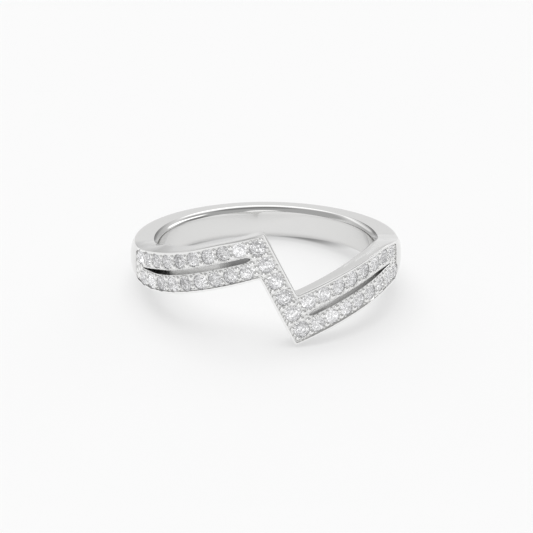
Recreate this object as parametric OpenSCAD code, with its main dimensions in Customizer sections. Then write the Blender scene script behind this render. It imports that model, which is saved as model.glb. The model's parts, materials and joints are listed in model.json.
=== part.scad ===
// Bypass ring: a plain rounded shank that swings up on one side and down on
// the other, joined across the front by a slanting bar, with split arms set
// with small round brilliants.

/* [Finger] */
// Radius of the finger hole
bore_r = 8.5; // [7:0.1:11]
// Depth of the soft comfort edge at the finger hole
comfort = 0.43; // [0.2:0.01:0.6]

/* [Shank] */
// Outer radius in front, at the slanting bar
front_r = 10.2; // [10:0.05:11]
// Outer radius at the shoulders
side_r = 10.85; // [10.4:0.05:11.5]
// Outer radius at the back
back_r = 10.4; // [10:0.05:11]
// Half the width of the shank at the back
shank_half = 1.33; // [1:0.01:1.6]
// How far the top of the shank is drawn in at the shoulders
shoulder_waist = 0.18; // [0:0.01:0.3]
// How far the shank's outer face curves in towards its edges
shank_round = 0.48; // [0.2:0.01:0.7]
// How far the arms' outer face curves in towards their edges
arm_round = 0.1; // [0.05:0.01:0.2]

/* [Left arm] */
// Height of the upper edge, carried on to the middle of the ring
left_top = 4.8; // [4.4:0.01:5]
// Rise of the upper edge per millimetre across
left_top_slope = 0.294; // [0.25:0.002:0.34]
// How far the upper edge drops below its line on the way to the shoulder
left_top_drop = 0.25; // [0:0.01:0.4]
// Height of the lower edge, carried on to the middle of the ring
left_low = 1.29; // [1.1:0.01:1.5]
// Rise of the lower edge per millimetre across
left_low_slope = 0.31; // [0.27:0.002:0.35]
// Height at which the lower edge levels off
left_level = -1.53; // [-1.6:0.01:-1.4]
// Rise of the upper edge per millimetre across, beside the finger
left_inner_slope = 0.35; // [0.29:0.005:0.38]

/* [Right arm] */
// Height of the upper edge, carried back to the middle of the ring
right_top = -1.05; // [-1.3:0.01:-0.8]
// Rise of the upper edge per millimetre across
right_top_slope = 0.365; // [0.32:0.002:0.4]
// Height at which the upper edge levels off
right_top_level = 2.2; // [1.9:0.01:2.3]
// Height of the lower edge, carried back to the middle of the ring
right_low = -5.09; // [-5.3:0.01:-4.8]
// Rise of the lower edge per millimetre across
right_low_slope = 0.383; // [0.34:0.002:0.42]
// Height at which the lower edge levels off
right_low_level = -1.33; // [-1.5:0.01:-1.1]
// Rise of the upper edge per millimetre across, beside the finger
right_inner_slope = 0.38; // [0.35:0.005:0.42]
// Height at which the upper edge levels off, beside the finger
right_inner_level = 1.65; // [1.4:0.01:1.8]

/* [Slanting bar] */
// Place across of the bar's inner edge at half height
bar_inner_x = 1.055; // [0.8:0.005:1.2]
// Place across of the bar's outer edge at half height
bar_outer_x = -1.115; // [-1.3:0.005:-0.9]
// Fall of the inner edge per millimetre across
bar_inner_slope = 1.97; // [1.9:0.01:2.4]
// Fall of the outer edge per millimetre across
bar_outer_slope = 2; // [1.8:0.01:2.3]

/* [Split in the arms] */
// Height of the split where it starts beside the bar
split_w = 0.4; // [0.3:0.01:0.45]
// Height of the split at its fine end on the shoulder
split_end_w = 0.12; // [0.08:0.01:0.2]

/* [Stones] */
// Radius of an arm stone
arm_stone_r = 0.59; // [0.5:0.01:0.6]
// Radius of a bar stone
bar_stone_r = 0.64; // [0.55:0.01:0.66]
// Clearance between a stone and its seat
seat_gap = 0.02; // [0.01:0.005:0.03]
// Angle between two arm stones
stone_step = 7.05; // [7:0.01:7.3]
// Number of stones on the bar, both corners counted
bar_stones = 6; // [5:1:6]
// Number of stones in each left row
left_stones = 9; // [5:1:9]
// Number of stones in each right row
right_stones = 8; // [5:1:8]

/* [Rest] */
// Lean of the ring on its side, front raised
lean = 9.61; // [0:0.01:12]
// Roll of the ring to its side
roll = -0.86; // [-5:0.01:5]

/* [Hidden] */
// Stations where the arms and the bar meet need short steps
corner_angle = 13;
corner_step = 1;
arm_step = 3;
shank_step = 4;
arm_angle = 79;
stations = concat(
    [for (a = [-180 : shank_step : -arm_angle - 1]) a],
    [for (a = [-arm_angle : arm_step : -corner_angle - 1]) a],
    [for (a = [-corner_angle : corner_step : corner_angle]) a],
    [for (a = [corner_angle + arm_step : arm_step : arm_angle + 1]) a],
    [for (a = [arm_angle + shank_step : shank_step : 179]) a]);

function sq(v) = v * v;
function step01(t) = t <= 0 ? 0 : t >= 1 ? 1 : t * t * (3 - 2 * t);
function ramp(lo, hi, v) = step01((v - lo) / (hi - lo));
// Larger and smaller of two heights, with the crossing rounded off
function soft_max(a, b, k) = (a + b + sqrt(sq(a - b) + sq(k))) / 2;
function soft_min(a, b, k) = (a + b - sqrt(sq(a - b) + sq(k))) / 2;
function mix(a, b, t) = a * (1 - t) + b * t;

// Outer radius of the ring seen from above, at an angle from the front
function outer_r(a) =
    side_r * sq(sin(a)) + (cos(a) > 0 ? front_r : back_r) * sq(cos(a));
function across(a) = outer_r(a) * sin(a);

// How far the crossings of the edges are rounded off
corner_blend = 0.14;
tip_blend = 0.25;
inner_blend = 0.12;
level_blend = 0.36;
right_low_blend = 0.2;
// The left arm's upper edge drops between these places across
left_bend = [4.5, 8.5];

// Edges of the arms and the bar in the front view
function bar_inner(x) = -bar_inner_slope * (x - bar_inner_x);
function bar_outer(x) = -bar_outer_slope * (x - bar_outer_x);
function arm_top(x, left_slope, left_drop, right_slope, right_level) = x < 0
    ? soft_min(left_top + left_slope * x - left_drop * over(left_bend, -x),
        bar_inner(x), corner_blend)
    : soft_max(bar_inner(x), soft_min(right_top + right_slope * x,
        right_level, level_blend), inner_blend);
function arm_low(x) = x < 0
    ? soft_min(bar_outer(x), soft_max(left_low + left_low_slope * x,
        left_level, level_blend), inner_blend)
    : soft_max(bar_outer(x), soft_min(right_low + right_low_slope * x,
        right_low_level, right_low_blend), tip_blend);

// The arms run out into the shank over the shoulders, between these angles
left_shoulder = [62, 97];
right_shoulder = [50, 92];
shoulder_drop = 0.05;
inner_shoulder = [60, 94];
function over(range, v) = ramp(range[0], range[1], v);
function to_shank(a) = a < 0 ? over(left_shoulder, -a) : over(right_shoulder, a);
function shank_top(a) = shank_half - shoulder_waist * sq(sin(a));
function top_z(a) = mix(
    arm_top(across(a), left_top_slope, left_top_drop, right_top_slope,
        right_top_level),
    shank_top(a), to_shank(a));
function low_z(a) = mix(arm_low(across(a)),
    -shank_half - shoulder_drop * sq(sin(a)), to_shank(a));
round_shoulder = [66, 92];
function edge_round(a) =
    mix(arm_round, shank_round, over(round_shoulder, abs(a)));

// Each section runs in from the outer face, straight back in the arms and
// towards the middle of the ring in the shank
turn_shoulder = [35, 80];
function inward(a) = a * over(turn_shoulder, abs(a));
function depth_at(a, r) = let (turn = a - inward(a))
    outer_r(a) * cos(turn) - sqrt(sq(r) - sq(outer_r(a) * sin(turn)));
function at_depth(a, d, z) = [
    across(a) - d * sin(inward(a)),
    -outer_r(a) * cos(a) + d * cos(inward(a)),
    z];

// The top of each arm falls away towards the finger, where its edge has a
// slope of its own
function inner_top_z(a) = mix(
    arm_top(at_depth(a, depth_at(a, bore_r + comfort), 0)[0],
        left_inner_slope, 0, right_inner_slope, right_inner_level),
    shank_top(a), over(inner_shoulder, abs(a)));

// Outer face, from the lower edge to the upper one, as part of a superellipse
profile_power = 2.2;
profile_turns = [-90 : 22.5 : 90];
function profile_height(t) = sign(t) * pow(abs(sin(t)), 2 / profile_power);
function profile_depth(t) = 1 - pow(abs(cos(t)), 2 / profile_power);
function outer_face(a) = let (
    mid = (top_z(a) + low_z(a)) / 2, half = (top_z(a) - low_z(a)) / 2)
    [for (t = profile_turns)
        at_depth(a, edge_round(a) * profile_depth(t),
            mid + half * profile_height(t))];

// Comfort edge: [share of its depth out from the bore, share down its side]
comfort_steps = [[1, 0], [0.35, 0.38], [-0.5, 1.85]];
function comfort_edge(a, z, way) = [for (c = comfort_steps)
    at_depth(a, depth_at(a, bore_r + comfort * c[0]), z + way * comfort * c[1])];
function reversed(list) = [for (i = [len(list) - 1 : -1 : 0]) list[i]];
function section(a) = concat(outer_face(a),
    comfort_edge(a, inner_top_z(a), -1), reversed(comfort_edge(a, low_z(a), 1)));

// The closed ring, one section after another
sections = [for (a = stations) section(a)];
ring_points = [for (s = sections) for (p = s) p];
ring_faces = let (n = len(sections), m = len(sections[0]))
    [for (i = [0 : n - 1]) for (j = [0 : m - 1]) let (
        here = i * m, next = (i + 1) % n * m, up = (j + 1) % m)
        each [[here + j, next + up, next + j], [here + j, here + up, next + up]]];

// Split through each arm, fine at the shoulder
split_out = 0.3;
split_in_r = bore_r - 0.4;
split_taper = 16;
split_steps = 13;
left_split = [-71, -12.75];
right_split = [13, 61];
function mid_z(a) = (top_z(a) + low_z(a)) / 2;
function split_half(a, far) =
    mix(split_w, split_end_w, ramp(far - split_taper, far, abs(a))) / 2;
function split_section(a, far) = [
    at_depth(a, -split_out, mid_z(a) - split_half(a, far)),
    at_depth(a, depth_at(a, split_in_r), mid_z(a) - split_half(a, far)),
    at_depth(a, depth_at(a, split_in_r), mid_z(a) + split_half(a, far)),
    at_depth(a, -split_out, mid_z(a) + split_half(a, far))];
function split_rows(ends, far) = [for (i = [0 : split_steps])
    split_section(mix(ends[0], ends[1], i / split_steps), far)];

// A tube of four-cornered sections closed by two end faces
module swept_bar(rows) {
    n = len(rows);
    polyhedron(
        points = [for (r = rows) for (p = r) p],
        faces = concat(
            [[0, 1, 2], [0, 2, 3]],
            [for (i = [0 : n - 2]) for (j = [0 : 3]) let (
                here = i * 4, next = here + 4, up = (j + 1) % 4)
                each [[here + j, next + j, next + up],
                    [here + j, next + up, here + up]]],
            [[n * 4 - 1, n * 4 - 2, n * 4 - 3], [n * 4 - 1, n * 4 - 3, n * 4 - 4]]));
}

// Stones: [angle from the front, height, radius], each facing straight out
row_share = 0.545;
function row_stone(a, way) =
    [a, mid_z(a) + way * row_share * (top_z(a) - low_z(a)) / 2, arm_stone_r];
left_upper_start = -17.5;
left_lower_start = -14.2;
right_upper_start = 13;
right_lower_start = 17.2;
corner_x = 1.72;
corner_z = [3.28, -3.32];
bar_row = [for (i = [0 : bar_stones - 1]) let (t = i / (bar_stones - 1))
    [asin(mix(-corner_x, corner_x, t) / front_r),
        mix(corner_z[0], corner_z[1], t), bar_stone_r]];
left_upper_row = [for (i = [0 : left_stones - 1])
    row_stone(left_upper_start - stone_step * i, 1)];
left_lower_row = [for (i = [0 : left_stones - 1])
    row_stone(left_lower_start - stone_step * i, -1)];
right_upper_row = [for (i = [0 : right_stones - 1])
    row_stone(right_upper_start + stone_step * i, 1)];
right_lower_row = [for (i = [0 : right_stones - 1])
    row_stone(right_lower_start + stone_step * i, -1)];
rows = [
    ["bar_stone", bar_row],
    ["left_upper_stone", left_upper_row],
    ["left_lower_stone", left_lower_row],
    ["right_upper_stone", right_upper_row],
    ["right_lower_stone", right_lower_row]];
all_stones = [for (r = rows) each r[1]];

// Direction straight out of the outer face
function facing(a) =
    a - atan(2 * (side_r - front_r) * sin(a) * cos(a) / outer_r(a));
module on_face(stone) {
    translate([across(stone[0]), -outer_r(stone[0]) * cos(stone[0]), stone[1]])
        rotate([90, 0, facing(stone[0])])
            children();
}

// Brilliant cut, as shares of the girdle radius, table up at height zero
table_share = 0.56;
star_share = 0.78;
crown_deep = 0.32;
star_deep = 0.15;
girdle_thick = 0.05;
pavilion_deep = 0.86;
pavilion_share = 0.22;
stone_sink = 0.02;
function cut_ring(count, turn, r, z) = [for (i = [0 : count - 1])
    [r * cos(i * 360 / count + turn), r * sin(i * 360 / count + turn), z]];

module brilliant(r) {
    table_at = 0;
    star_at = 8;
    upper_at = 16;
    lower_at = 32;
    main_at = 48;
    culet_at = 56;
    points = concat(
        cut_ring(8, 22.5, r * table_share, 0),
        cut_ring(8, 0, r * star_share, -r * star_deep),
        cut_ring(16, 0, r, -r * crown_deep),
        cut_ring(16, 0, r, -r * (crown_deep + girdle_thick)),
        cut_ring(8, 0, r * pavilion_share,
            -r * (crown_deep + girdle_thick + pavilion_deep * (1 - pavilion_share))),
        [[0, 0, -r * (crown_deep + girdle_thick + pavilion_deep)]]);
    eighth = [for (i = [0 : 7]) let (
        n = (i + 1) % 8, u = 2 * i, u1 = u + 1, u2 = (u + 2) % 16)
        each [
            [star_at + i, table_at + i, star_at + n],
            [table_at + i, table_at + n, star_at + n],
            [star_at + i, upper_at + u1, upper_at + u],
            [star_at + n, upper_at + u2, upper_at + u1],
            [star_at + i, star_at + n, upper_at + u1],
            [main_at + i, lower_at + u, lower_at + u1],
            [main_at + n, lower_at + u1, lower_at + u2],
            [main_at + i, lower_at + u1, main_at + n],
            [culet_at, main_at + i, main_at + n]]];
    girdle = [for (i = [0 : 15]) let (n = (i + 1) % 16)
        each [[upper_at + i, upper_at + n, lower_at + n],
            [upper_at + i, lower_at + n, lower_at + i]]];
    table = [for (i = [1 : 6]) [table_at, table_at + i + 1, table_at + i]];
    polyhedron(points = points, faces = concat(table, eighth, girdle));
}

// Seat that a stone drops into, its cone parallel to the stone's
seat_open = 0.4;
seat_sides = 48;
module seat(r) {
    wide = r + seat_gap;
    shelf = -r * (crown_deep + girdle_thick) - seat_gap;
    rotate_extrude($fn = seat_sides)
        polygon([[0, seat_open], [wide, seat_open], [wide, shelf],
            [0, shelf - wide * pavilion_deep - seat_gap]]);
}

// The ring leans on its tip and the back of its lower edge
function leant(p) = let (
    y = p[1] * cos(lean) + p[2] * sin(lean),
    z = -p[1] * sin(lean) + p[2] * cos(lean))
    [p[0] * cos(roll) + z * sin(roll), y, -p[0] * sin(roll) + z * cos(roll)];
leant_points = [for (p = ring_points) leant(p)];
function lowest(i) = min([for (p = leant_points) p[i]]);
function highest(i) = max([for (p = leant_points) p[i]]);
rest_shift = [
    -(lowest(0) + highest(0)) / 2,
    -(lowest(1) + highest(1)) / 2,
    -lowest(2)];
module at_rest() {
    translate(rest_shift) rotate([-lean, roll, 0]) children();
}

bore_reach = 6;
bore_sides = 180;
module ring_band() {
    color("gainsboro")
    at_rest() difference() {
        polyhedron(points = ring_points, faces = ring_faces);
        translate([0, 0, -bore_reach])
            cylinder(r = bore_r, h = 2 * bore_reach, $fn = bore_sides);
        swept_bar(split_rows(left_split, abs(left_split[0])));
        swept_bar(split_rows(right_split, right_split[1]));
        for (s = all_stones) on_face(s) translate([0, 0, -stone_sink]) seat(s[2]);
    }
}

// No two neighbours are turned alike, as when stones are set by hand
setting_turn = 37;
module set_stone(i) {
    color("white")
    at_rest() on_face(all_stones[i]) translate([0, 0, -stone_sink])
        rotate([0, 0, setting_turn * i]) brilliant(all_stones[i][2]);
}

stone_names = [for (r = rows) for (i = [0 : len(r[1]) - 1]) str(r[0], "_", i + 1)];
ring_band();
for (i = [0 : len(all_stones) - 1])
    set_stone(i);
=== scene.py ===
import json
import math

import bmesh
import bpy
from mathutils import Matrix, Vector
from mathutils.kdtree import KDTree


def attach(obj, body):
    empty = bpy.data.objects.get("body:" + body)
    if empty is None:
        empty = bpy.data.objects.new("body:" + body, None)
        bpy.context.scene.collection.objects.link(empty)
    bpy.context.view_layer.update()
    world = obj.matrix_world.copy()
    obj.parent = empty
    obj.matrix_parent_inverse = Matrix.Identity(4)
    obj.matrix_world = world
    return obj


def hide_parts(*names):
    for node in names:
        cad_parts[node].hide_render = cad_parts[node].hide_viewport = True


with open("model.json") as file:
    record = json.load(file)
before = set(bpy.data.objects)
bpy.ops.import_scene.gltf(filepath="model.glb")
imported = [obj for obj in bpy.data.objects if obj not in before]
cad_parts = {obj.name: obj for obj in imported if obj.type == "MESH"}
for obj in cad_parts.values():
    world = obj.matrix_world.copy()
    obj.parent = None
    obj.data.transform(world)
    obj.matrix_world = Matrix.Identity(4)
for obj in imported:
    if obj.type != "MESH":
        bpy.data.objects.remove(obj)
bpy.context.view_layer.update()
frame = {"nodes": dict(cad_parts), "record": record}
scene = bpy.context.scene
print("frame loaded,", len(frame["nodes"]), "nodes")

mm = 0.001
rest = {
    "lean": 9.61,                            # degrees, front raised
    "roll": -0.86,                           # degrees, to the ring's own left
}
fingerHole = next(m for m in frame["record"]["mounts"] if m["name"] == "finger_hole")
ringTurn = (Matrix.Rotation(math.radians(rest["roll"]), 4, "Y")
            @ Matrix.Rotation(math.radians(-rest["lean"]), 4, "X"))
ringPlace = Matrix.Translation(fingerHole["pos_m"]) @ ringTurn @ Matrix.Scale(mm, 4)
toRing = ringPlace.inverted()


def square(value):
    return value * value


def sinDeg(angle):
    return math.sin(math.radians(angle))


def cosDeg(angle):
    return math.cos(math.radians(angle))


def ramp(low, high, value):
    share = min(max((value - low) / (high - low), 0), 1)
    return share * share * (3 - 2 * share)


def mix(first, second, share):
    return first * (1 - share) + second * share


def softMax(first, second, width):
    return (first + second + math.sqrt(square(first - second) + square(width))) / 2


def softMin(first, second, width):
    return (first + second - math.sqrt(square(first - second) + square(width))) / 2


# Outline of the band: the ring lies round Z here, front towards -Y, in millimetres and degrees
band = {
    "boreRadius": 8.5, "comfort": 0.37, "comfortDeep": 0.42, "crease": 38, "creaseSoft": 0.09,
    "frontRadius": 10.2, "sideRadius": 10.85, "backRadius": 10.4,
    "shankHalf": 1.33, "shoulderWaist": 0.18, "shoulderDrop": 0.05,
    "shankRound": 0.48, "armRound": 0.04, "roundPower": 2.2,
    "leftTop": 4.8, "leftTopSlope": 0.294, "leftTopDrop": 0.25,
    "leftInnerSlope": 0.35, "leftInnerDrop": 0, "leftBendFrom": 4.5, "leftBendTo": 8.5,
    "leftLow": 1.29, "leftLowSlope": 0.31, "leftLevel": -1.53,
    "rightTop": -1.05, "rightTopSlope": 0.365, "rightTopLevel": 2.2,
    "rightInnerSlope": 0.38, "rightInnerLevel": 1.65,
    "rightLow": -5.09, "rightLowSlope": 0.383, "rightLowLevel": -1.33,
    "barInnerX": 1.055, "barOuterX": -1.115, "barInnerSlope": 1.97, "barOuterSlope": 2.0,
    "cornerBlend": 0.04, "tipBlend": 0.25, "innerBlend": 0.12, "levelBlend": 0.36, "rightLowBlend": 0.2,
    # angles over which an arm turns into the shank
    "leftShankFrom": 62, "leftShankTo": 97, "rightShankFrom": 50, "rightShankTo": 92,
    "roundFrom": 58, "roundTo": 89, "innerFrom": 60, "innerTo": 94, "inwardFrom": 35, "inwardTo": 80,
    # rows of a section
    "comfortStep": 8, "sideRows": 5, "boreRows": 8, "insetSteps": 12, "sharpAngle": 32,
}
flareRadius = band["boreRadius"] + band["comfort"] + band["creaseSoft"]    # start of the comfort edge


def outerRadius(angle):
    middle = band["frontRadius"] if cosDeg(angle) > 0 else band["backRadius"]
    return band["sideRadius"] * square(sinDeg(angle)) + middle * square(cosDeg(angle))


def across(angle):
    return outerRadius(angle) * sinDeg(angle)


def barInner(x):
    return -band["barInnerSlope"] * (x - band["barInnerX"])


def barOuter(x):
    return -band["barOuterSlope"] * (x - band["barOuterX"])


def armTop(x, edge):                         # edge: "Top" at the outer face, "Inner" beside the finger
    if x < 0:
        bend = ramp(band["leftBendFrom"], band["leftBendTo"], -x)
        arm = band["leftTop"] + band["left" + edge + "Slope"] * x - band["left" + edge + "Drop"] * bend
        return softMin(arm, barInner(x), band["cornerBlend"])
    arm = softMin(band["rightTop"] + band["right" + edge + "Slope"] * x, band["right" + edge + "Level"],
                  band["levelBlend"])
    return softMax(barInner(x), arm, band["innerBlend"])


def armLow(x):
    if x < 0:
        arm = softMax(band["leftLow"] + band["leftLowSlope"] * x, band["leftLevel"], band["levelBlend"])
        return softMin(barOuter(x), arm, band["innerBlend"])
    arm = softMin(band["rightLow"] + band["rightLowSlope"] * x, band["rightLowLevel"],
                  band["rightLowBlend"])
    return softMax(barOuter(x), arm, band["tipBlend"])


def toShank(angle):
    if angle < 0:
        return ramp(band["leftShankFrom"], band["leftShankTo"], -angle)
    return ramp(band["rightShankFrom"], band["rightShankTo"], angle)


def shankTop(angle):
    return band["shankHalf"] - band["shoulderWaist"] * square(sinDeg(angle))


def topHeight(angle):
    return mix(armTop(across(angle), "Top"), shankTop(angle), toShank(angle))


def lowHeight(angle):
    shank = -band["shankHalf"] - band["shoulderDrop"] * square(sinDeg(angle))
    return mix(armLow(across(angle)), shank, toShank(angle))


def midHeight(angle):
    return (topHeight(angle) + lowHeight(angle)) / 2


def halfHeight(angle):
    return (topHeight(angle) - lowHeight(angle)) / 2


def edgeRound(angle):
    share = ramp(band["roundFrom"], band["roundTo"], abs(angle))
    return mix(band["armRound"], band["shankRound"], share)


def inward(angle):                           # sections run straight back in front, to the middle behind
    return angle * ramp(band["inwardFrom"], band["inwardTo"], abs(angle))


def depthAt(angle, radius):
    turn = angle - inward(angle)
    outer = outerRadius(angle)
    return outer * cosDeg(turn) - math.sqrt(square(radius) - square(outer * sinDeg(turn)))


def atDepth(angle, depth, height):
    return Vector((across(angle) - depth * sinDeg(inward(angle)),
                   -outerRadius(angle) * cosDeg(angle) + depth * cosDeg(inward(angle)),
                   height))


def innerTopHeight(angle):                   # the top's edge beside the finger has a slope of its own
    edge = atDepth(angle, depthAt(angle, band["boreRadius"] + band["comfort"]), 0)
    share = ramp(band["innerFrom"], band["innerTo"], abs(angle))
    return mix(armTop(edge.x, "Inner"), shankTop(angle), share)


def faceDepth(angle, height):                # how far the outer face falls away towards its edges
    share = min(abs(height - midHeight(angle)) / halfHeight(angle), 1)
    power = band["roundPower"]
    return edgeRound(angle) * (1 - (1 - share ** power) ** (1 / power))


def inset(angle, distance, side):            # height of a line that keeps its distance from an edge
    edge = topHeight if side > 0 else lowHeight
    reach = math.degrees(distance / outerRadius(angle))
    count = band["insetSteps"]
    shares = [k / count for k in range(-count, count + 1)]
    heights = [side * edge(angle + reach * k) - distance * math.sqrt(1 - k * k) for k in shares]
    return side * min(heights)


# Sunken field that the stones are set in, with a thin polished rim left round it
field = {
    "rim": 0.17, "rimFlat": 0.02, "edge": 0.06, "edgeStep": 15, "wall": 0.025, "deep": 0.17,
    "leftEnd": -79.0, "rightEnd": 67.5, "cornerRadius": 0.3, "rows": 14,
    "sunkenFrom": 0.03, "sunkenTo": 0.08, "throughFrom": 1.1, "throughTo": 1.4,
}


def fieldEnd(angle):                         # distance to the nearer end of the field, along the face
    return math.radians(min(angle - field["leftEnd"], field["rightEnd"] - angle)) * outerRadius(angle)


def fieldRim(angle):                         # the rim widens into rounded corners at the field's ends
    corner = field["cornerRadius"]
    gap = min(max(corner - fieldEnd(angle), 0), corner)
    return field["rim"] + corner - math.sqrt(square(corner) - square(gap))


def comfortSteps():                          # (inwards, down) from the top face, over a soft crease
    start, soft = band["crease"], band["creaseSoft"]
    curve = []
    for t in (start / 3, start * 2 / 3):
        curve.append((soft * sinDeg(t) / sinDeg(start), soft * (1 - cosDeg(t))))
    for t in range(start, 90, band["comfortStep"]):
        out = band["comfort"] * (sinDeg(t) - sinDeg(start)) / (1 - sinDeg(start))
        down = band["comfortDeep"] * (cosDeg(start) - cosDeg(t)) / cosDeg(start)
        curve.append((out + soft, down + soft * (1 - cosDeg(start))))
    return curve


comfortCurve = comfortSteps()


def edgeArc(angle, side):                    # the rounded edge as (depth, height), side face first
    reach = field["edge"]
    start = faceDepth(angle, inset(angle, reach, side))
    deep = max(edgeRound(angle) - start, reach)
    return [(start + deep * (1 - sinDeg(t)), inset(angle, reach * (1 - cosDeg(t)), side))
            for t in range(0, 91, field["edgeStep"])]


def sectionPoints(angle):
    rim = fieldRim(angle)
    inField = fieldEnd(angle) > 0
    upper = [inset(angle, e, 1) for e in (rim - field["rimFlat"], rim)]
    lower = [inset(angle, e, -1) for e in (rim - field["rimFlat"], rim)]
    upperArc, lowerArc = edgeArc(angle, 1), edgeArc(angle, -1)
    upperFloor = inset(angle, rim + field["wall"], 1)
    lowerFloor = inset(angle, rim + field["wall"], -1)
    sunk = field["deep"] if inField else 0
    points = lowerArc + [(faceDepth(angle, z), z) for z in lower]
    for k in range(field["rows"] + 1):
        z = mix(lowerFloor, upperFloor, k / field["rows"])
        points.append((faceDepth(angle, z) + sunk, z))
    points += [(faceDepth(angle, z), z) for z in reversed(upper)] + upperArc[::-1]
    top, low = topHeight(angle), lowHeight(angle)
    innerTop = innerTopHeight(angle)
    sideStart = depthAt(angle, flareRadius)
    shares = [k / band["sideRows"] for k in range(1, band["sideRows"] + 1)]
    sideRows = [(mix(upperArc[0][0], sideStart, share), share) for share in shares]
    points += [(d, mix(top, innerTop, share)) for d, share in sideRows]
    points += [(depthAt(angle, flareRadius - out), innerTop - down) for out, down in comfortCurve]
    bore = depthAt(angle, band["boreRadius"])
    boreTop, boreLow = innerTop - band["comfortDeep"], low + band["comfortDeep"]
    points += [(bore, mix(boreTop, boreLow, k / band["boreRows"])) for k in range(band["boreRows"] + 1)]
    points += [(depthAt(angle, flareRadius - out), low + down) for out, down in reversed(comfortCurve)]
    points += [(d, low) for d, share in reversed(sideRows)]
    return [atDepth(angle, depth, z) for depth, z in points]


def steps(start, end, step):
    count = max(1, round(abs(end - start) / step))
    return [mix(start, end, k / count) for k in range(count)]


# Degrees between the band's sections, closer where the outline turns
spacing = {
    "shank": 2, "arm": 1, "bar": 0.4, "barReach": 14, "outside": 0.5, "outsideReach": 1,
    "wall": 0.12, "corner": 0.3, "cornerFrom": 0.4, "cornerTo": 2.8,
}


def bandStations():
    left, right, bar = field["leftEnd"], field["rightEnd"], spacing["barReach"]
    near, far = spacing["cornerFrom"], spacing["cornerTo"]
    before = left - spacing["outsideReach"]
    after = right + spacing["outside"]
    past = after + spacing["outsideReach"]
    angles = steps(-180, before, spacing["shank"]) + steps(before, left, spacing["outside"])
    angles += [left, left + spacing["wall"]] + steps(left + near, left + far, spacing["corner"])
    angles += steps(left + far, -bar, spacing["arm"]) + steps(-bar, bar, spacing["bar"])
    angles += steps(bar, right - far, spacing["arm"])
    angles += steps(right - far, right - near, spacing["corner"])
    angles += [right - near, right - spacing["wall"], right]
    return angles + steps(after, past, spacing["outside"]) + steps(past, 180, spacing["shank"])


def closedLoft(rows, name):                  # rows of points round a ring, each row closed
    made = bmesh.new()
    grid = [[made.verts.new(ringPlace @ p) for p in row] for row in rows]
    for k, row in enumerate(grid):
        after = grid[(k + 1) % len(grid)]
        for j in range(len(row)):
            following = (j + 1) % len(row)
            made.faces.new((row[j], after[j], after[following], row[following]))
    return finishMesh(made, name)


def finishMesh(made, name):
    bmesh.ops.recalc_face_normals(made, faces=made.faces)
    mesh = bpy.data.meshes.new(name)
    made.to_mesh(mesh)
    made.free()
    piece = bpy.data.objects.new(name, mesh)
    scene.collection.objects.link(piece)
    return piece


# Stones: angle from the front, height and girdle radius, as the solids have them
stones = {
    "armRadius": 0.59, "barRadius": 0.64, "step": 7.05, "rowShare": 0.545,
    "barCount": 6, "leftCount": 9, "rightCount": 8,
    "cornerX": 1.72, "cornerHigh": 3.28, "cornerLow": -3.32,
    "leftUpperStart": -17.5, "leftLowerStart": -14.2, "rightUpperStart": 13.0, "rightLowerStart": 17.2,
    "seatGap": 0.02, "sink": 0.02, "girdle": 0.37, "pavilion": 0.86, "seatTop": 0.4, "seatSides": 32,
}


def armRow(start, step, count, side):
    angles = [start + step * k for k in range(count)]
    return [(a, midHeight(a) + side * stones["rowShare"] * halfHeight(a), stones["armRadius"])
            for a in angles]


def barRow():
    last = stones["barCount"] - 1
    spots = [(mix(-stones["cornerX"], stones["cornerX"], k / last),
              mix(stones["cornerHigh"], stones["cornerLow"], k / last)) for k in range(last + 1)]
    return [(math.degrees(math.asin(x / band["frontRadius"])), z, stones["barRadius"]) for x, z in spots]


stoneSpots = (barRow()
              + armRow(stones["leftUpperStart"], -stones["step"], stones["leftCount"], 1)
              + armRow(stones["leftLowerStart"], -stones["step"], stones["leftCount"], -1)
              + armRow(stones["rightUpperStart"], stones["step"], stones["rightCount"], 1)
              + armRow(stones["rightLowerStart"], stones["step"], stones["rightCount"], -1))


def facing(angle):                           # frame on the outer face, its Z straight out of it
    lean = (band["sideRadius"] - band["frontRadius"]) * 2 * sinDeg(angle) * cosDeg(angle)
    turn = math.radians(angle) - math.atan(lean / outerRadius(angle))
    return Matrix.Rotation(turn, 4, "Z") @ Matrix.Rotation(math.radians(90), 4, "X")


def onFace(angle, height):
    spot = Vector((across(angle), -outerRadius(angle) * cosDeg(angle), height))
    return Matrix.Translation(spot) @ facing(angle)


def seatCutters(made):
    for angle, height, radius in stoneSpots:
        place = ringPlace @ onFace(angle, height) @ Matrix.Translation((0, 0, -stones["sink"]))
        wide = radius + stones["seatGap"]
        shelf = -radius * stones["girdle"] - stones["seatGap"]
        bottom = shelf - wide * stones["pavilion"] - stones["seatGap"]
        tip = made.verts.new(place @ Vector((0, 0, bottom)))
        sides = stones["seatSides"]
        turns = [math.tau * k / sides for k in range(sides)]
        outline = [(wide * math.cos(t), wide * math.sin(t)) for t in turns]
        upper = [made.verts.new(place @ Vector((x, y, stones["seatTop"]))) for x, y in outline]
        lower = [made.verts.new(place @ Vector((x, y, shelf))) for x, y in outline]
        made.faces.new(upper)
        for k in range(sides):
            n = (k + 1) % sides
            made.faces.new((upper[n], upper[k], lower[k], lower[n]))
            made.faces.new((lower[n], lower[k], tip))


# Split through each arm, with a fine bright edge
split = {
    "wide": 0.37, "wideEnd": 0.1, "narrows": 14, "lip": 0.03, "taperFrom": -0.2, "taperTo": 2.0,
    "tipWide": 0.08, "leftStart": -12.6, "leftEnd": -71.0, "rightStart": 13.0, "rightEnd": 61.0,
    "innerRadius": 8.1, "proud": 0.3, "step": 1.0,
}
splitEnds = [(split["leftStart"], split["leftEnd"]), (split["rightStart"], split["rightEnd"])]


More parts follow.
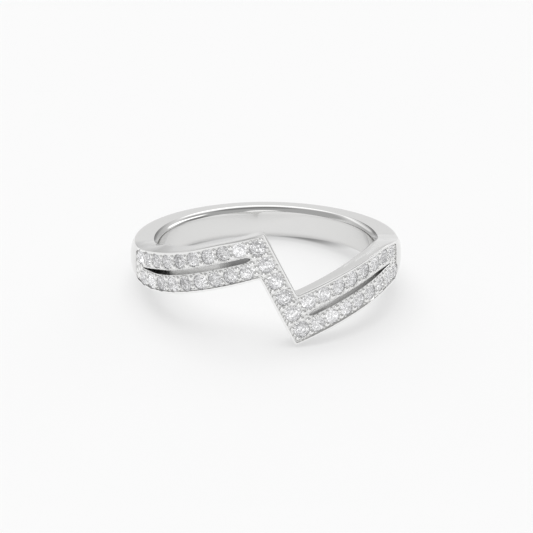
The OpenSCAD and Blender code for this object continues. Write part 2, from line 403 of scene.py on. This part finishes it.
def splitHalf(angle, start, end):
    wide = mix(split["wide"], split["wideEnd"], ramp(abs(end) - split["narrows"], abs(end), abs(angle)))
    fromEnd = min(abs(angle - start), abs(angle - end))
    return mix(split["tipWide"], wide, ramp(split["taperFrom"], split["taperTo"], fromEnd)) / 2


def inSplit(angle, height):
    for start, end in splitEnds:
        if min(start, end) < angle < max(start, end):
            return abs(height - midHeight(angle)) < splitHalf(angle, start, end) + split["lip"]
    return False


def splitCutter(made, start, end):
    count = round(abs(end - start) / split["step"])
    rows = []
    for k in range(count + 1):
        angle = mix(start, end, k / count)
        half, middle = splitHalf(angle, start, end), midHeight(angle)
        inner = depthAt(angle, split["innerRadius"])
        floor, lip = field["deep"], split["lip"]
        side = [(-split["proud"], half + lip), (floor, half + lip), (floor + lip, half), (inner, half)]
        outline = [(d, middle + h) for d, h in side] + [(d, middle - h) for d, h in reversed(side)]
        rows.append([made.verts.new(ringPlace @ atDepth(angle, d, z)) for d, z in outline])
    for row, after in zip(rows, rows[1:]):
        for j in range(len(row)):
            following = (j + 1) % len(row)
            made.faces.new((row[j], after[j], after[following], row[following]))
    made.faces.new(rows[0])
    made.faces.new(list(reversed(rows[-1])))


def buildBand():
    whole = closedLoft([sectionPoints(a) for a in bandStations()], "bandWhole")
    made = bmesh.new()
    seatCutters(made)
    splitCutter(made, split["leftStart"], split["leftEnd"])
    splitCutter(made, split["rightStart"], split["rightEnd"])
    cutters = finishMesh(made, "bandCutters")
    cut = whole.modifiers.new("cut", "BOOLEAN")
    cut.operation = "DIFFERENCE"
    cut.solver = "MANIFOLD"
    cut.object = cutters
    piece = applied(whole, "polishedBand")
    bpy.data.objects.remove(cutters)
    piece.data.polygons.foreach_set("use_smooth", [True] * len(piece.data.polygons))
    piece.data.set_sharp_from_angle(angle=math.radians(band["sharpAngle"]))
    return piece


def applied(source, name):                   # the evaluated object as a plain mesh of its own
    shape = source.evaluated_get(bpy.context.evaluated_depsgraph_get())
    mesh = bpy.data.meshes.new_from_object(shape)
    mesh.name = name
    piece = bpy.data.objects.new(name, mesh)
    scene.collection.objects.link(piece)
    bpy.data.objects.remove(source)
    return piece


bandPiece = buildBand()
print("band:", len(bandPiece.data.polygons), "faces")


def ringSpot(point):                         # x, height, angle from the front, distance from the axis
    x, y, z = toRing @ point
    return x, z, math.degrees(math.atan2(x, -y)), math.hypot(x, y)


def markSunken(piece):                       # 1 on the sunken field, the seats and the splits, else 0
    marks = piece.data.attributes.new("sunken", "FLOAT", "POINT")
    for vertex, mark in zip(piece.data.vertices, marks.data):
        x, z, angle, distance = ringSpot(vertex.co)
        edge = fieldRim(angle) + field["wall"] / 2
        inside = fieldEnd(angle) > 0 and inset(angle, edge, -1) < z < inset(angle, edge, 1)
        depth = (outerRadius(angle) - distance) * inside
        below = ramp(field["sunkenFrom"], field["sunkenTo"], depth)
        mark.value = below * (1 - ramp(field["throughFrom"], field["throughTo"], depth))


# Painted shade, from 0 to 1: the splits' walls, painted black towards the shoulders and dark towards the
# bar, and the comfort edge at the two sides. Lengths are along X, sides in degrees.
paintedShade = {
    "blackFrom": 8.45, "blackTo": 8.85, "midDark": 0.85, "midFrom": 3.5, "midTo": 5.0,
    "rightDark": 0.55, "leftLag": 0.05, "rightLag": 0.35, "wallDepth": 0.2, "wallRadius": 8.52,
    "sideFrom": 60, "sideTo": 75, "sideBackFrom": 100, "sideBackTo": 135,
    "creaseDark": 0.95, "innerDark": 0.45, "creaseFrom": 0.04, "creaseTo": 0.28,
    "boreGap": 0.005, "topReach": 0.6,
}
# Painted highlights, as a paler metal colour: the beads, the field's rims, and the left split's walls
# where they catch the light
paintedHighlight = {
    "beads": 0.6, "upperRim": 0.5, "lowerRim": 0.7, "wall": 1.0, "wallFrom": 8.5, "wallTo": 4.5,
    "inside": 0.02, "underneath": 0.1,
}


def wallPaintedShade(x, depth):
    lag = paintedShade["rightLag"] if x > 0 else paintedShade["leftLag"]
    reach = abs(x) + depth * lag
    middle = paintedShade["midDark"] * (1 - ramp(paintedShade["midFrom"], paintedShade["midTo"], reach))
    if x > 0:
        middle = max(middle, paintedShade["rightDark"])
    return max(ramp(paintedShade["blackFrom"], paintedShade["blackTo"], reach), middle)


def comfortPaintedShade(angle, distance):
    side = ramp(paintedShade["sideFrom"], paintedShade["sideTo"], abs(angle))
    side *= 1 - ramp(paintedShade["sideBackFrom"], paintedShade["sideBackTo"], abs(angle))
    inner = ramp(paintedShade["creaseFrom"], paintedShade["creaseTo"], flareRadius - distance)
    return side * mix(paintedShade["creaseDark"], paintedShade["innerDark"], inner)


# painted shade on the splits' walls and on the comfort edge at the two sides
def markPaintedShade(piece):
    comfortFrom = band["boreRadius"] + paintedShade["boreGap"]
    marks = piece.data.attributes.new("paintedShade", "FLOAT", "FACE")
    for face, mark in zip(piece.data.polygons, marks.data):
        x, z, angle, distance = ringSpot(face.center)
        depth = outerRadius(angle) - distance
        nearTop = z > innerTopHeight(angle) - paintedShade["topReach"]
        if depth > paintedShade["wallDepth"] and distance > paintedShade["wallRadius"] and inSplit(angle, z):
            mark.value = wallPaintedShade(x, depth)
        elif comfortFrom < distance < flareRadius and nearTop:
            mark.value = comfortPaintedShade(angle, distance)


# painted highlight on the field's rims and on the left split's walls
def markPaintedHighlights(piece):
    marks = piece.data.attributes.new("paintedHighlight", "FLOAT", "FACE")
    for face, mark in zip(piece.data.polygons, marks.data):
        x, z, angle, distance = ringSpot(face.center)
        if fieldEnd(angle) < 0:
            continue
        depth = outerRadius(angle) - distance
        lit = -paintedHighlight["wallFrom"] < x < -paintedHighlight["wallTo"]
        if depth > paintedShade["wallDepth"] and inSplit(angle, z) and lit:
            mark.value = paintedHighlight["wall"]
        rim = fieldRim(angle) + paintedHighlight["inside"]
        fall = depth - faceDepth(angle, z)
        if fall < paintedHighlight["inside"] and z > inset(angle, rim, 1):
            mark.value = paintedHighlight["upperRim"]
        elif fall < paintedHighlight["underneath"] and z < inset(angle, rim, -1):
            mark.value = paintedHighlight["lowerRim"]


markSunken(bandPiece)
markPaintedShade(bandPiece)
markPaintedHighlights(bandPiece)
print("dark and bright places marked")

# Beads of metal raised between the stones to hold them
beads = {
    "largest": 0.25, "smallest": 0.085, "onStone": 0.09, "apart": -0.01, "rise": 0.21,
    "angleStep": 0.5, "heightStep": 0.07, "borderStep": 0.25, "borderEndSteps": 30,
    "sides": 9, "rings": 6, "unevenness": 0.12, "seed": 11,
}


def onFloor(angle, height):
    return atDepth(angle, faceDepth(angle, height) + field["deep"], height)


def fieldBorder():
    points = []
    step, endSteps = beads["borderStep"], beads["borderEndSteps"]
    for angle in steps(field["leftEnd"], field["rightEnd"] + step, step):
        edge = fieldRim(angle) + field["wall"]
        points += [onFloor(angle, inset(angle, edge, side)) for side in (1, -1)]
    for angle in (field["leftEnd"], field["rightEnd"]):
        low, top = inset(angle, field["rim"], -1), inset(angle, field["rim"], 1)
        points += [onFloor(angle, mix(low, top, k / endSteps)) for k in range(endSteps + 1)]
    for start, end in splitEnds:
        for angle in steps(start, end, step):
            half = splitHalf(angle, start, end) + split["lip"]
            points += [onFloor(angle, midHeight(angle) + side * half) for side in (1, -1)]
    return points


def beadRoom():                              # places on the floor, each with the radius it has room for
    border = fieldBorder()
    tree = KDTree(len(border))
    for k, point in enumerate(border):
        tree.insert(point, k)
    tree.balance()
    gems = [(onFloor(a, z), r - beads["onStone"]) for a, z, r in stoneSpots]
    places = []
    for angle in steps(field["leftEnd"], field["rightEnd"], beads["angleStep"]):
        edge = fieldRim(angle) + field["wall"]
        low, top = inset(angle, edge, -1), inset(angle, edge, 1)
        for height in steps(low, top, beads["heightStep"]):
            point = onFloor(angle, height)
            room = min((point - gem).length - radius for gem, radius in gems)
            if room > beads["smallest"] and not inSplit(angle, height):
                room = min(room, tree.find(point)[2], beads["largest"])
                places.append((room, angle, point))
    return places


def packBeads():
    places = beadRoom()
    packed = []
    while places:
        radius, angle, spot = max(places, key=lambda place: place[0])
        packed.append((radius, angle, spot))
        left = [(min(room, (point - spot).length - radius - beads["apart"]), a, point)
                for room, a, point in places]
        places = [place for place in left if place[0] > beads["smallest"]]
    return packed


class Wire:                                  # an output of a node, for use in sums
    def __init__(self, tree, node, output=0):
        self.tree = tree
        self.node = node
        self.socket = node.outputs[output]

    def __getitem__(self, output):
        return Wire(self.tree, self.node, output)

    def maths(self, operation, first, second=0.0):
        return self.tree.maths(operation, first, second)

    def __add__(self, other):
        return self.maths("ADD", self, other)

    def __radd__(self, other):
        return self.maths("ADD", other, self)

    def __sub__(self, other):
        return self.maths("SUBTRACT", self, other)

    def __rsub__(self, other):
        return self.maths("SUBTRACT", other, self)

    def __mul__(self, other):
        return self.maths("MULTIPLY", self, other)

    def __rmul__(self, other):
        return self.maths("MULTIPLY", other, self)

    def fract(self):
        return self.maths("FRACT", self)

    def sine(self):
        return self.maths("SINE", self)

    def absolute(self):
        return self.maths("ABSOLUTE", self)


class NodeTree:                              # a node tree that is emptied and filled node by node
    def __init__(self, tree):
        self.tree = tree
        tree.nodes.clear()

    def add(self, kind, settings=None, inputs=None):
        node = self.tree.nodes.new(kind)
        for name, value in (settings or {}).items():
            setattr(node, name, value)
        for name, value in (inputs or {}).items():
            if isinstance(value, Wire):
                self.tree.links.new(value.socket, node.inputs[name])
            else:
                node.inputs[name].default_value = value
        return Wire(self, node) if node.outputs else node

    def soft(self, value, low, high):        # 0 below low, 1 above high, soft between
        return self.add("ShaderNodeMapRange", {"interpolation_type": "SMOOTHSTEP"},
                        {"Value": value, "From Min": low, "From Max": high})

    def blend(self, share, first, second):   # colours
        return self.add("ShaderNodeMix", {"data_type": "RGBA"}, {0: share, 6: first, 7: second})[2]

    def vector(self, operation, first, second=(0, 0, 0)):
        return self.add("ShaderNodeVectorMath", {"operation": operation}, {0: first, 1: second})

    def maths(self, operation, first, second=0.0):
        return self.add("ShaderNodeMath", {"operation": operation}, {0: first, 1: second})

    def dot(self, first, second):
        return self.vector("DOT_PRODUCT", first, second)["Value"]

    def noise(self, place, size, detail):
        return self.add("ShaderNodeTexNoise", None, {"Vector": place, "Scale": 1 / size, "Detail": detail})

    def attribute(self, name):
        return self.add("ShaderNodeAttribute", {"attribute_name": name})["Fac"]


def newMaterial(name):
    material = bpy.data.materials.new(name)
    material.use_nodes = True
    return material, NodeTree(material.node_tree)


# Rhodium white gold, mirror polished
goldFinish = {
    "polished": (0.755, 0.753, 0.746, 1), "sunken": (0.83, 0.83, 0.825, 1),
    "shining": (0.97, 0.97, 0.965, 1), "dark": (0.02, 0.02, 0.02, 1), "sunkenShare": 0.8,
    "roughness": 0.05, "sunkenRoughness": 0.2, "grainRoughness": 0.05, "grainShare": 0.06,
    # painted shade: the arms' top faces are painted a little darker, more so at the left and at both sides
    "topShade": 0.07, "topFrom": 0.75, "topTo": 0.9, "frontFrom": -1.0, "frontTo": 1.5,
    "leftShade": 0.21, "leftFrom": 1.0, "leftTo": 5.0, "sideShade": 0.21, "sideFrom": 7.5, "sideTo": 9.5,
    "waveSize": 1.8 * mm, "waveDetail": 1.0, "waveDepth": 0.0006 * mm, "waveStrength": 0.5,
    "grainSize": 0.1 * mm, "grainDetail": 3.0,
}


# painted shade on faces turned up along the ring's axis, towards the front
def paintedTopShade(tree):
    coords = tree.add("ShaderNodeTexCoord")
    axis = ringTurn.to_3x3() @ Vector((0, 0, 1))
    top = tree.soft(tree.dot(coords["Normal"], axis), goldFinish["topFrom"], goldFinish["topTo"])
    forward = tree.dot(coords["Object"], (0, -1 / mm, 0))
    leftward = tree.dot(coords["Object"], (-1 / mm, 0, 0))
    front = tree.soft(forward, goldFinish["frontFrom"], goldFinish["frontTo"])
    left = tree.soft(leftward, goldFinish["leftFrom"], goldFinish["leftTo"])
    side = tree.soft(leftward.absolute(), goldFinish["sideFrom"], goldFinish["sideTo"])
    local = goldFinish["topShade"] + left * goldFinish["leftShade"] + side * goldFinish["sideShade"]
    return top * front * local


def goldMaterial():
    material, tree = newMaterial("polishedWhiteGold")
    place = tree.add("ShaderNodeTexCoord")["Object"]
    waves = tree.noise(place, goldFinish["waveSize"], goldFinish["waveDetail"])
    grain = tree.noise(place, goldFinish["grainSize"], goldFinish["grainDetail"])
    sunken = tree.attribute("sunken")
    # the sunken field, seats and splits are rougher, and painted a paler metal colour to lighten the shade
    # in the recess
    metalColour = tree.blend(sunken * goldFinish["sunkenShare"] + grain * goldFinish["grainShare"],
                             goldFinish["polished"], goldFinish["sunken"])
    # painted highlight: marked faces take the paler highlight colour
    metalColour = tree.blend(tree.attribute("paintedHighlight"), metalColour, goldFinish["shining"])
    # painted shade: the painted-shade marks and the arms' painted top shade blend the metal towards dark
    shade = 1 - (1 - tree.attribute("paintedShade")) * (1 - paintedTopShade(tree))
    colour = tree.blend(shade, metalColour, goldFinish["dark"])
    rough = goldFinish["roughness"] + sunken * goldFinish["sunkenRoughness"]
    rough = rough + grain * goldFinish["grainRoughness"]
    bump = tree.add("ShaderNodeBump", None, {"Height": waves, "Strength": goldFinish["waveStrength"],
                                             "Distance": goldFinish["waveDepth"]})
    metal = tree.add("ShaderNodeBsdfPrincipled", None,
                     {"Base Color": colour, "Metallic": 1.0, "Roughness": rough, "Normal": bump})
    tree.add("ShaderNodeOutputMaterial", None, {"Surface": metal})
    return material


# Colourless round brilliants: clear above the girdle, and below it a mirror with a painted grey for each
# facet and a painted glow that is bright on some facets, as a mosaic of light and dark
gemFinish = {
    "ior": 2.42, "clear": (1, 1, 1, 1), "dark": (0.66, 0.66, 0.67, 1), "light": (1, 1, 1, 1),
    "mirrorRoughness": 0.02, "sparkle": 0.33, "sparkleFrom": 0.6, "glow": (0.08, 0.08, 0.08, 1),
    "drawAxis": (12.99, 78.23, 37.72), "drawScale": 437.5, "sparkleScale": 7.31,
    "girdleDepth": 0.2235, "girdleSoft": 0.003,      # millimetres below the face
}


def gemMaterial():
    material, tree = newMaterial("clearStone")
    coords = tree.add("ShaderNodeTexCoord")
    facet = tree.dot(coords["Normal"], gemFinish["drawAxis"])
    draw = (facet.sine() * gemFinish["drawScale"]).fract()
    sparkle = tree.soft((draw * gemFinish["sparkleScale"]).fract(), gemFinish["sparkleFrom"], 1.0)
    side = ringTurn.to_3x3() @ Vector((1, 0, 0))
    axis = ringTurn.to_3x3() @ Vector((0, 0, 1))
    spoke = tree.vector("SUBTRACT", coords["Object"], Vector(fingerHole["pos_m"]))
    along = tree.add("ShaderNodeVectorMath", {"operation": "SCALE"},
                     {0: axis, "Scale": tree.dot(spoke, axis)})
    level = tree.vector("SUBTRACT", spoke, along)
    sine = tree.dot(tree.vector("NORMALIZE", level), side)
    bulge = band["sideRadius"] - band["frontRadius"]
    depth = band["frontRadius"] + sine * sine * bulge - tree.vector("LENGTH", level)["Value"] * (1 / mm)
    girdle, soft = gemFinish["girdleDepth"], gemFinish["girdleSoft"]
    back = tree.soft(depth, girdle - soft, girdle + soft)
    clear = tree.add("ShaderNodeBsdfPrincipled", None,
                     {"Base Color": gemFinish["clear"], "Roughness": 0.0, "IOR": gemFinish["ior"],
                      "Transmission Weight": 1.0})
    # painted sparkle: the mirror's grey for each facet and its glow, bright on some facets
    mirror = tree.add("ShaderNodeBsdfPrincipled", None,
                      {"Base Color": tree.blend(draw, gemFinish["dark"], gemFinish["light"]),
                       "Metallic": 1.0, "Roughness": gemFinish["mirrorRoughness"],
                       "Emission Color": tree.blend(sparkle, gemFinish["glow"], gemFinish["light"]),
                       "Emission Strength": gemFinish["sparkle"]})
    both = tree.add("ShaderNodeMixShader", None, {0: back, 1: clear, 2: mirror})
    tree.add("ShaderNodeOutputMaterial", None, {"Surface": both})
    return material


def beadTree(finish):                        # a bead on every point, standing out of the face
    group = bpy.data.node_groups.new("settingBeads", "GeometryNodeTree")
    tree = NodeTree(group)
    face = group.interface
    face.new_socket(name="Points", in_out="INPUT", socket_type="NodeSocketGeometry")
    for name, kind in (("Rise", "Float"), ("Sides", "Int"), ("Rings", "Int"), ("Unevenness", "Float"),
                       ("Seed", "Int")):
        face.new_socket(name=name, in_out="INPUT", socket_type="NodeSocket" + kind)
    face.new_socket(name="Beads", in_out="OUTPUT", socket_type="NodeSocketGeometry")
    given = tree.add("NodeGroupInput")
    ball = tree.add("GeometryNodeMeshUVSphere", None,
                    {"Segments": given["Sides"], "Rings": given["Rings"], "Radius": 1.0})
    smooth = tree.add("GeometryNodeSetShadeSmooth", None, {"Geometry": ball})
    radius = tree.add("GeometryNodeInputNamedAttribute", {"data_type": "FLOAT"}, {"Name": "radius"})
    out = tree.add("GeometryNodeInputNamedAttribute", {"data_type": "FLOAT_VECTOR"}, {"Name": "out"})
    turn = tree.add("FunctionNodeAlignRotationToVector", {"axis": "Z"}, {"Vector": out})
    draw = tree.add("FunctionNodeRandomValue", {"data_type": "FLOAT"},
                    {"Min": 1 - given["Unevenness"], "Max": 1 + given["Unevenness"],
                     "Seed": given["Seed"]})
    size = tree.add("ShaderNodeCombineXYZ", None, {"X": radius, "Y": radius, "Z": given["Rise"] * draw})
    placed = tree.add("GeometryNodeInstanceOnPoints", None,
                      {"Points": given["Points"], "Instance": smooth, "Rotation": turn, "Scale": size})
    real = tree.add("GeometryNodeRealizeInstances", None, {"Geometry": placed})
    done = tree.add("GeometryNodeSetMaterial", None, {"Geometry": real, "Material": finish})
    tree.add("NodeGroupOutput", None, {"Beads": done})
    return group


def buildBeads(finish):
    packed = packBeads()
    mesh = bpy.data.meshes.new("beadPoints")
    mesh.from_pydata([ringPlace @ spot for radius, angle, spot in packed], [], [])
    radii = mesh.attributes.new("radius", "FLOAT", "POINT")
    outs = mesh.attributes.new("out", "FLOAT_VECTOR", "POINT")
    for k, (radius, angle, spot) in enumerate(packed):
        radii.data[k].value = radius * mm
        outs.data[k].vector = ringTurn.to_3x3() @ facing(angle).to_3x3() @ Vector((0, 0, 1))
    source = bpy.data.objects.new("beadPoints", mesh)
    scene.collection.objects.link(source)
    group = beadTree(finish)
    grow = source.modifiers.new("grow", "NODES")
    grow.node_group = group
    sizes = {"Rise": beads["rise"] * mm, "Sides": beads["sides"], "Rings": beads["rings"],
             "Unevenness": beads["unevenness"], "Seed": beads["seed"]}
    for socket in group.interface.items_tree:
        if socket.name in sizes:
            grow[socket.identifier] = sizes[socket.name]
    piece = applied(source, "settingBeads")
    # the beads carry a painted highlight
    marks = piece.data.attributes.new("paintedHighlight", "FLOAT", "FACE")
    marks.data.foreach_set("value", [paintedHighlight["beads"]] * len(piece.data.polygons))
    print("beads:", len(packed))
    return piece


# Studio: a pale floor that glows, with a painted contact shadow where the glow is taken away under the
# shank behind; a pale low sky, dim in front, above and at the right; three softboxes, a slanting strip
# light at the right and a soft lamp above. A place in the sky is a direction, with the cosines where it
# starts and where it is full.
studio = {
    "floorSide": 4.0, "floorSegments": 8, "floorRoughness": 0.9, "floorGlow": 0.54,
    "floorDark": (0.32, 0.32, 0.32, 1), "floorPale": (0.326, 0.326, 0.326, 1),
    "cloudSize": 0.025, "cloudDetail": 2.0,
    "underFrom": 8.75, "underTo": 9.25, "outFrom": 10.2, "outTo": 10.7,
    "behindFrom": 5.8, "behindTo": 8.2, "underDark": 0.7,
    "low": 0.86, "dim": 0.48, "dimAt": (0, -0.6, 0.8), "dimFrom": 0.05, "dimTo": 0.3,
    "side": 0.5, "sideAt": (0.99, -0.1, 0.1), "sideFrom": 0.85, "sideTo": 0.96,
    "black": 0.22, "blackAt": (0.1, 0.12, 0.988), "blackFrom": 0.9, "blackTo": 0.975,
    "frontBox": 0.8, "frontBoxAt": (-0.05, -0.94, 0.34), "frontBoxFrom": 0.93, "frontBoxTo": 0.975,
    "leftBox": 0.7, "leftBoxAt": (-0.33, 0.85, 0.41), "leftBoxFrom": 0.955, "leftBoxTo": 0.985,
    "backBox": 1.0, "backBoxAt": (0.1, 0.62, 0.778), "backBoxFrom": 0.913, "backBoxTo": 0.978,
    "strip": 1.3, "stripAcross": (0.624, -0.4, -0.671), "stripFrom": 0.18, "stripTo": 0.08,
    "stripAt": (0.78, 0.32, 0.54), "stripEndFrom": 0.88, "stripEndTo": 0.95,
    "lamp": 2.0, "lampSoftness": 60.0, "lampTurn": (-8.0, -6.0, 0.0), "bounces": 24,
}


def floorMaterial():
    material, tree = newMaterial("paleFloor")
    place = tree.add("ShaderNodeTexCoord")["Object"]
    cloud = tree.noise(place, studio["cloudSize"], studio["cloudDetail"])
    colour = tree.blend(cloud, studio["floorDark"], studio["floorPale"])
    spot = tree.vector("SUBTRACT", place, Vector(fingerHole["pos_m"]).to_2d().to_3d())
    away = tree.vector("LENGTH", spot)["Value"] * (1 / mm)
    inside = tree.soft(away, studio["underFrom"], studio["underTo"])
    outside = tree.soft(away, studio["outFrom"], studio["outTo"])
    behind = tree.soft(tree.dot(spot, (0, 1 / mm, 0)), studio["behindFrom"], studio["behindTo"])
    # painted contact shadow: the floor's glow is taken away in a ring under the shank behind
    paintedShadow = inside * (1 - outside) * behind * studio["underDark"]
    glow = tree.blend(paintedShadow, (1, 1, 1, 1), (0, 0, 0, 1))
    paper = tree.add("ShaderNodeBsdfPrincipled", None,
                     {"Base Color": colour, "Roughness": studio["floorRoughness"],
                      "Specular IOR Level": 0.0, "Emission Color": glow,
                      "Emission Strength": studio["floorGlow"]})
    tree.add("ShaderNodeOutputMaterial", None, {"Surface": paper})
    return material


def buildFloor():
    made = bmesh.new()
    count = studio["floorSegments"]
    bmesh.ops.create_grid(made, x_segments=count, y_segments=count, size=studio["floorSide"] / 2)
    floor = finishMesh(made, "floor")
    floor.data.materials.append(floorMaterial())


def skyPlace(tree, way, name):               # 1 within the named place of the sky, soft at its edge
    near = tree.dot(way, studio[name + "At"])
    return tree.soft(near, studio[name + "From"], studio[name + "To"])


def skyMaterial():
    world = bpy.data.worlds.new("studio")
    world.use_nodes = True
    tree = NodeTree(world.node_tree)
    way = tree.add("ShaderNodeTexCoord")["Generated"]
    dim = skyPlace(tree, way, "dim") * (studio["low"] - studio["dim"])
    light = studio["low"] - dim - skyPlace(tree, way, "black") * studio["black"]
    light = light * (1 - skyPlace(tree, way, "side") * studio["side"])
    aside = tree.dot(way, studio["stripAcross"])
    strip = 1 - tree.soft(aside * aside, square(studio["stripTo"]), square(studio["stripFrom"]))
    ends = tree.soft(tree.dot(way, studio["stripAt"]), studio["stripEndFrom"], studio["stripEndTo"])
    light = light + strip * ends * studio["strip"]
    for box in ("backBox", "frontBox", "leftBox"):
        light = light + skyPlace(tree, way, box) * studio[box]
    sky = tree.add("ShaderNodeBackground", None, {"Color": (1, 1, 1, 1), "Strength": light})
    tree.add("ShaderNodeOutputWorld", None, {"Surface": sky})
    return world


def lightStudio():
    scene.world = skyMaterial()
    lamp = bpy.data.lights.new("key", "SUN")
    lamp.energy = studio["lamp"]
    lamp.angle = math.radians(studio["lampSoftness"])
    key = bpy.data.objects.new("key", lamp)
    key.rotation_euler = [math.radians(a) for a in studio["lampTurn"]]
    key.visible_glossy = False
    scene.collection.objects.link(key)


# Camera: long lens, a little above the ring, turned slightly to its right
view = {
    "focalPixels": 2493.0, "frame": 533, "sensor": 36, "distance": 0.2, "nearest": 0.01,
    "turn": -6.05, "raise": 16.88, "centre": (266.0, 251.4),
}


def placeCamera():
    data = bpy.data.cameras.new("camera")
    data.sensor_width = view["sensor"]
    data.lens = view["focalPixels"] / view["frame"] * data.sensor_width
    data.clip_start = view["nearest"]
    turn, lift = view["turn"], view["raise"]
    right = Vector((cosDeg(turn), sinDeg(turn), 0))
    back = Vector((sinDeg(turn) * cosDeg(lift), -cosDeg(turn) * cosDeg(lift), sinDeg(lift)))
    basis = Matrix((right, back.cross(right), back)).transposed().to_4x4()
    middle = view["frame"] / 2
    aimX = math.atan((view["centre"][0] - middle) / view["focalPixels"])
    aimY = math.atan((middle - view["centre"][1]) / view["focalPixels"])
    camera = bpy.data.objects.new("camera", data)
    place = Vector(fingerHole["pos_m"]) + ringTurn.to_3x3() @ back * view["distance"]
    camera.matrix_world = (Matrix.Translation(place) @ ringTurn @ basis
                           @ Matrix.Rotation(-aimY, 4, "X") @ Matrix.Rotation(aimX, 4, "Y"))
    scene.collection.objects.link(camera)
    scene.camera = camera


whiteGold = goldMaterial()
clearStone = gemMaterial()
bandPiece.data.materials.clear()
bandPiece.data.materials.append(whiteGold)
beadPiece = buildBeads(whiteGold)
for name, node in frame["nodes"].items():
    node.data.materials.clear()
    node.data.materials.append(clearStone if "stone" in name else whiteGold)
print("finishes done")

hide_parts("ring_band")
for piece in (bandPiece, beadPiece):
    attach(piece, "root")

buildFloor()
lightStudio()
placeCamera()
scene.view_settings.view_transform = "Standard"
scene.cycles.max_bounces = studio["bounces"]
scene.cycles.glossy_bounces = studio["bounces"]
scene.cycles.transmission_bounces = studio["bounces"]
print("studio done")
